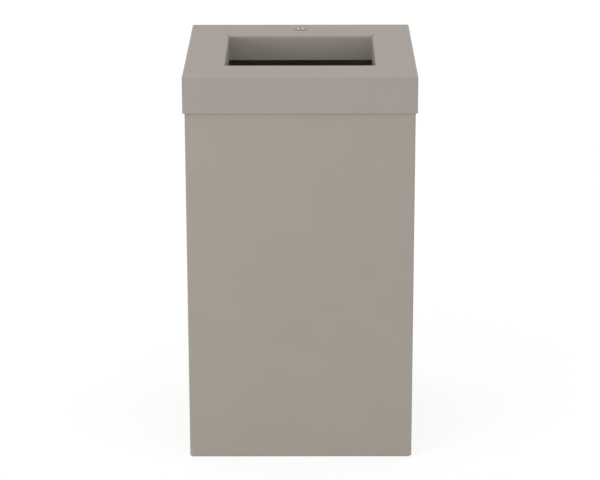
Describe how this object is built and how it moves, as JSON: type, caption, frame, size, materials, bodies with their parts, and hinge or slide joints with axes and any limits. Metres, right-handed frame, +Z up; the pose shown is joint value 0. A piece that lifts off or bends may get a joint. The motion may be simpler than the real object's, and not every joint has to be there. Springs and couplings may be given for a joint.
{
  "type": "wall-mounted waste bin",
  "caption": "Square wall-mounted steel waste bin with a lift-off cap lid, a collared rectangular opening and a cam lock.",
  "frame": {"origin": "middle of the underside of the whole object's box, on the surface that the bin stands on", "axes": "+Z up, +Y towards the wall, -Y the front, +X to the right as seen from the front"},
  "size_m": [0.35, 0.352, 0.611],
  "materials": {
    "powder_coat": "satin fine-textured powder coat",
    "chrome_lock": "polished chrome plating",
    "plug_metal": "nickel plated",
    "zinc_steel": "bright zinc plated",
    "brass_wafers": "stamped",
    "rivet_aluminium": "plain",
    "black_rubber": "matt"
  },
  "bodies": {
    "bin": {"body_wrap": "powder_coat", "back_panel": "powder_coat", "base_plate": "powder_coat", "rim_pads": "black_rubber", "wall_spacers": "black_rubber", "bag_ring_hooks": "powder_coat", "lock_keeper": "zinc_steel", "keeper_rivets": "rivet_aluminium"},
    "ring": {"bag_ring": "zinc_steel"},
    "lid": {"lid_cover": "powder_coat", "lock_housing": "chrome_lock", "lock_washer": "zinc_steel", "lock_nut": "zinc_steel"},
    "plug": {"lock_plug": "plug_metal", "lock_wafers": "brass_wafers", "lock_stop_washer": "zinc_steel", "lock_cam": "zinc_steel", "cam_washer": "zinc_steel", "cam_screw": "zinc_steel"}
  },
  "joints": [
    {"name": "lid_lift", "type": "slide", "parent": "bin", "child": "lid", "axis": [0, 0, 1], "range_m": [0, 0.1]},
    {"name": "lock_turn", "type": "hinge", "parent": "lid", "child": "plug", "pos_m": [0, 0.138, 0.6], "axis": [0, 0, 1], "range_deg": [0, 90]},
    {"name": "ring_lift", "type": "slide", "parent": "bin", "child": "ring", "axis": [0, 0, 1], "range_m": [0, 0.03]}
  ]
}
